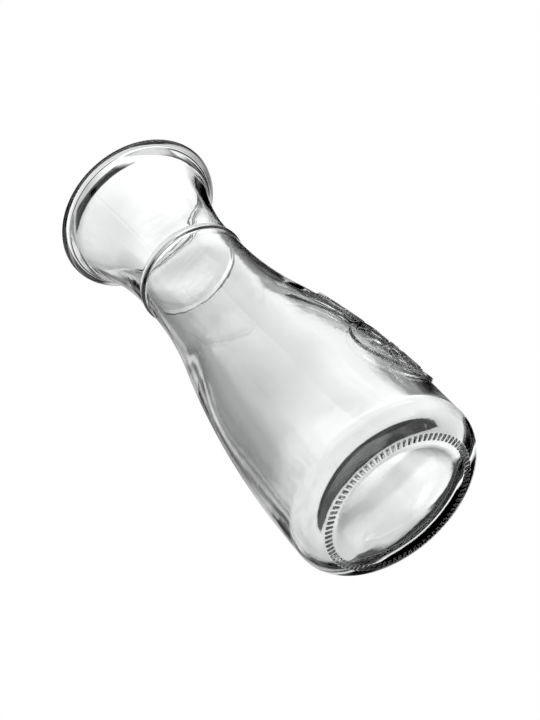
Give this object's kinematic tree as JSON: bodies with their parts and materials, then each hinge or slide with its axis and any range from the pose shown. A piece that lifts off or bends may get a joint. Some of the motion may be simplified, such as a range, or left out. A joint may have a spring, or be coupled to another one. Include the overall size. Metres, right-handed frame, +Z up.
{
  "type": "glass milk bottle",
  "caption": "Clear glass milk bottle with a flared bell mouth, rounded lip, neck ring, long sloping shoulder, knurled base ring and a raised rosette roundel on the front.",
  "frame": {"origin": "centre of the base, on the plane of the knurl bars that the bottle stands on", "axes": "+Z up along the bottle's axis towards the mouth, with the raised ornament facing -Y"},
  "size_m": [0.08, 0.0812, 0.212],
  "materials": {
    "clear_glass": "gloss"
  },
  "bodies": {
    "root": {"bottle": "clear_glass"}
  },
  "joints": []
}
